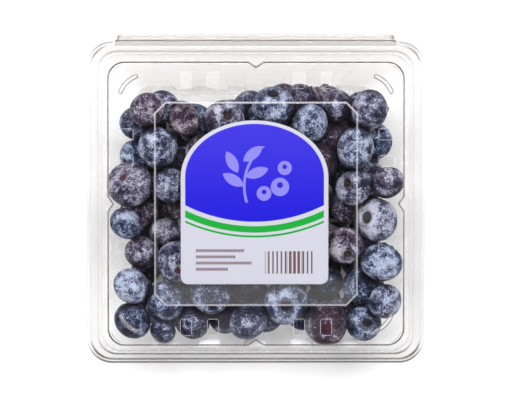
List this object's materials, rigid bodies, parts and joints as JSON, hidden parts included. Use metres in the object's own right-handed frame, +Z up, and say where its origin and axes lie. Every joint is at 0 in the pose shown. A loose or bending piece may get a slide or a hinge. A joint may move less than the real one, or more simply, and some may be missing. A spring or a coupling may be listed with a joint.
{
  "type": "punnet of blueberries",
  "caption": "Square clear clamshell punnet with a hinged vented lid, a label and a heap of blueberries inside.",
  "frame": {"origin": "centre of the pack's footprint, hinge included, at the height of the sole it stands on", "axes": "+Z up through the lid, +Y towards the hinge, +X along the hinge"},
  "size_m": [0.1164, 0.1134, 0.0425],
  "materials": {
    "clear_plastic": "thin clear thermoformed sheet, glossy",
    "label_paper": "satin printed sticker, white with a blue field and green rules",
    "berry_skin": "dark blue skin under a pale waxy bloom"
  },
  "bodies": {
    "tray": {"tray": "clear_plastic", "hinge_fold": "clear_plastic", "berries": "berry_skin"},
    "lid": {"lid": "clear_plastic", "label": "label_paper"}
  },
  "joints": [
    {"name": "lid_hinge", "type": "hinge", "parent": "tray", "child": "lid", "pos_m": [0, 0.05607, 0.02865], "axis": [-1, 0, 0], "range_deg": [0, 180]}
  ]
}
